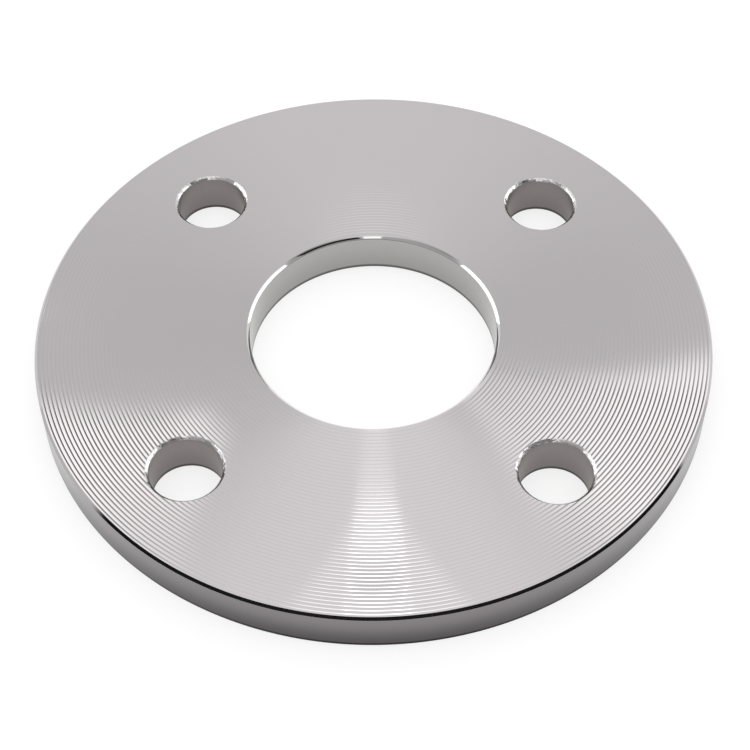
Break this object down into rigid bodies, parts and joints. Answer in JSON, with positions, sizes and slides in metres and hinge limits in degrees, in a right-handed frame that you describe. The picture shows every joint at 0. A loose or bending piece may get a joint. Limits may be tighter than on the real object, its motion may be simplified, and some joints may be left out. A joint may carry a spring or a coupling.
{
  "type": "plate pipe flange",
  "caption": "Flat round steel pipe flange with a central bore, bolt holes on a circle and a turned gasket face of fine concentric grooves, to weld on a pipe end.",
  "frame": {"origin": "on the bore's axis, in the plane of the back face", "axes": "+Z along the bore's axis, out of the grooved gasket face; the bolt holes lie on the diagonals of +X and +Y"},
  "size_m": [0.134, 0.134, 0.009],
  "materials": {
    "turned_steel": "bare steel, turned and faced, with fine concentric tool marks"
  },
  "bodies": {
    "root": {"flange": "turned_steel"}
  },
  "joints": []
}
